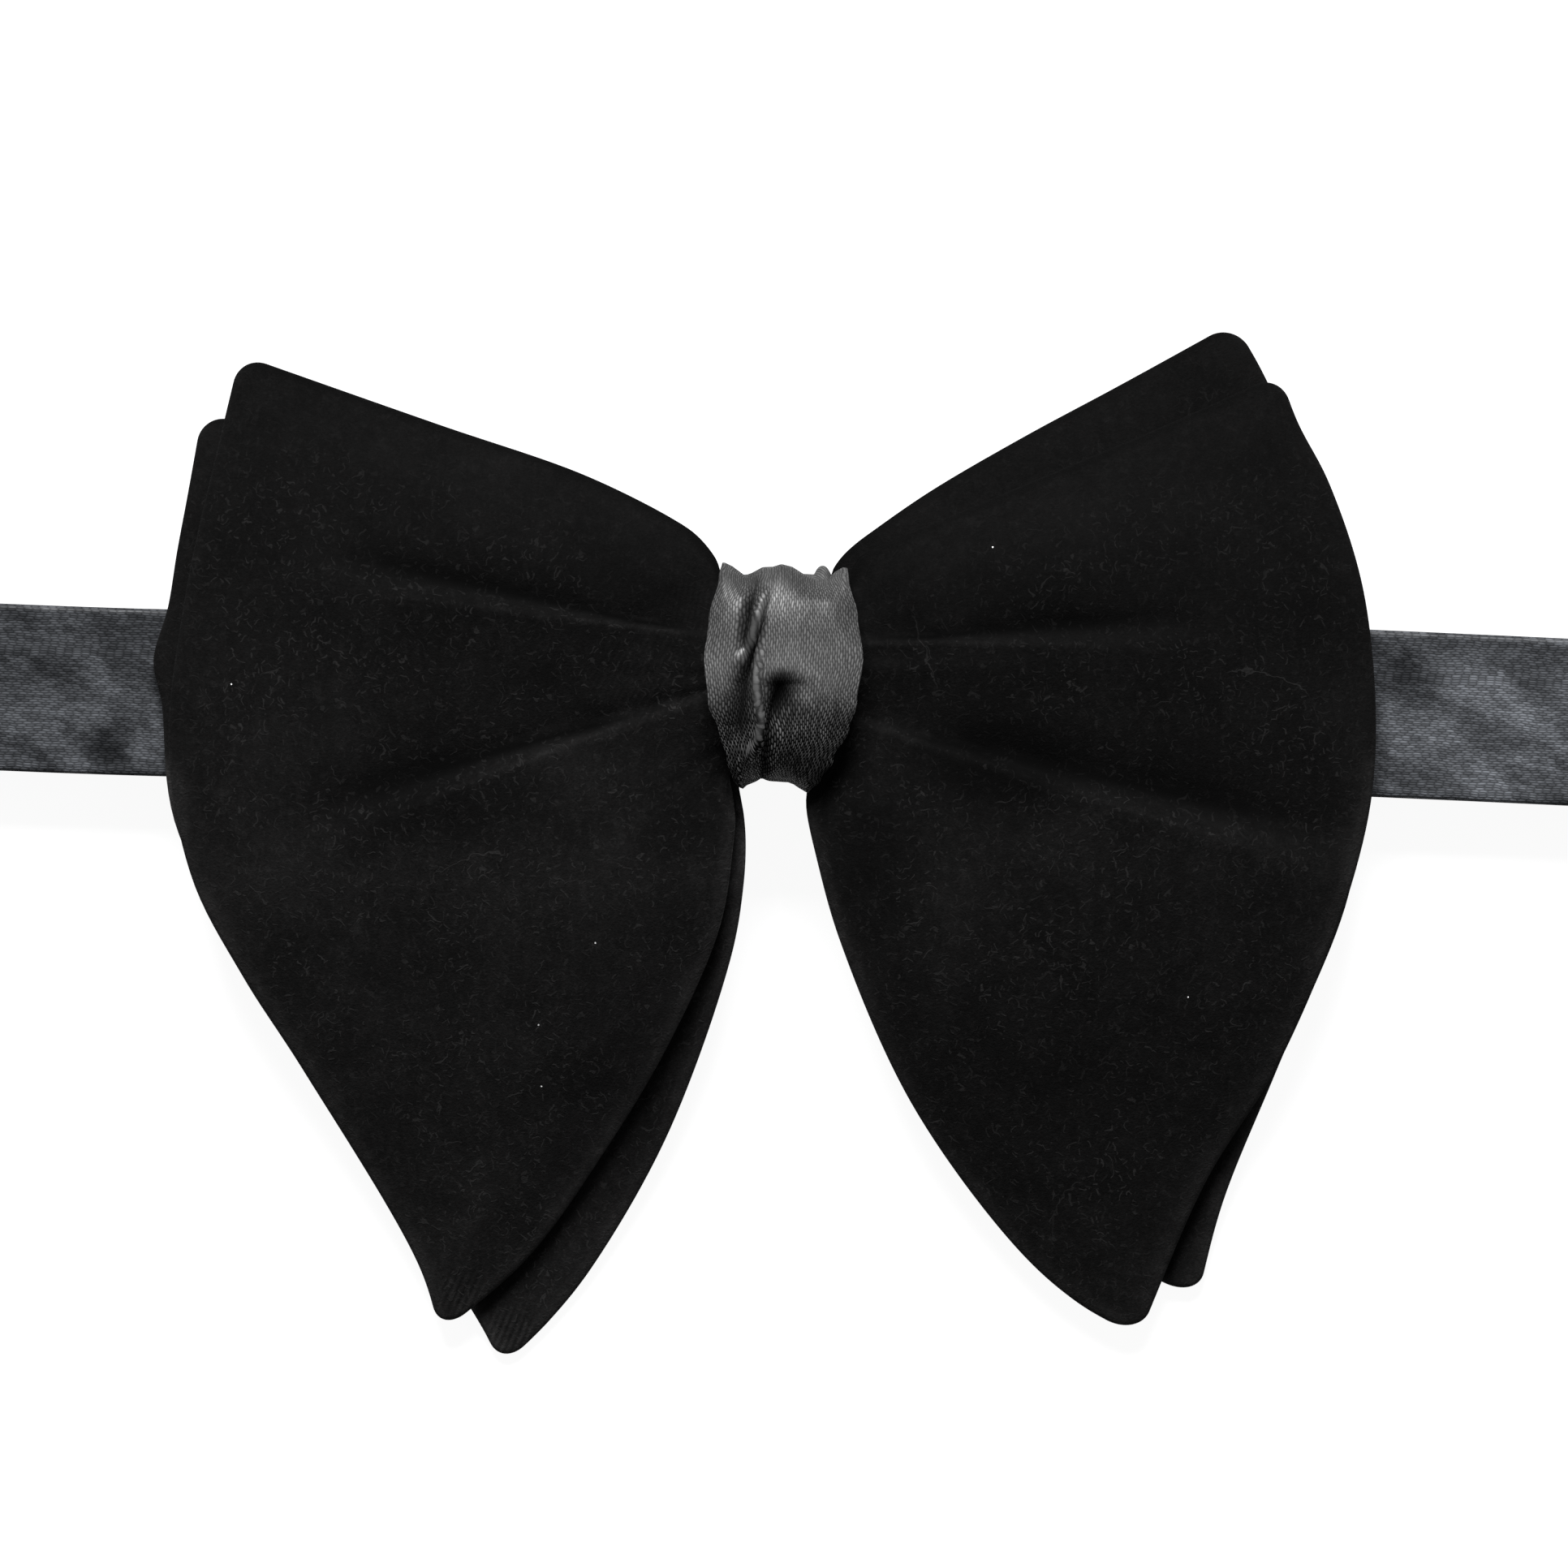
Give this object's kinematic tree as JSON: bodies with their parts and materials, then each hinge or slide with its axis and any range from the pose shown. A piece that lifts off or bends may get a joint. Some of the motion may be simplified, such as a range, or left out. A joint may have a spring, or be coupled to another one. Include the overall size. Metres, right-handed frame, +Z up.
{
  "type": "velvet bow tie",
  "caption": "Oversized butterfly bow tie of two stacked velvet bows gathered by a satin knot, on a satin neck band closed with a slide, lying face up.",
  "frame": {"origin": "on the table, under the middle of the box that holds the tie as it lies face up", "axes": "+Z up off the table, through the knot from back to front; +Y towards the bow's top edge; +X along the neck band, towards the right-hand wing as seen from above"},
  "size_m": [0.22, 0.1264, 0.0232],
  "materials": {
    "velvet": "matt pile with faint lint",
    "knot_satin": "satin weave, threads running down the knot",
    "band_satin": "satin weave, threads running along the band",
    "slide_metal": "black, low gloss"
  },
  "bodies": {
    "root": {"front_bow": "velvet", "back_bow": "velvet", "knot_wrap": "knot_satin", "neck_band": "band_satin", "band_slide": "slide_metal"}
  },
  "joints": []
}
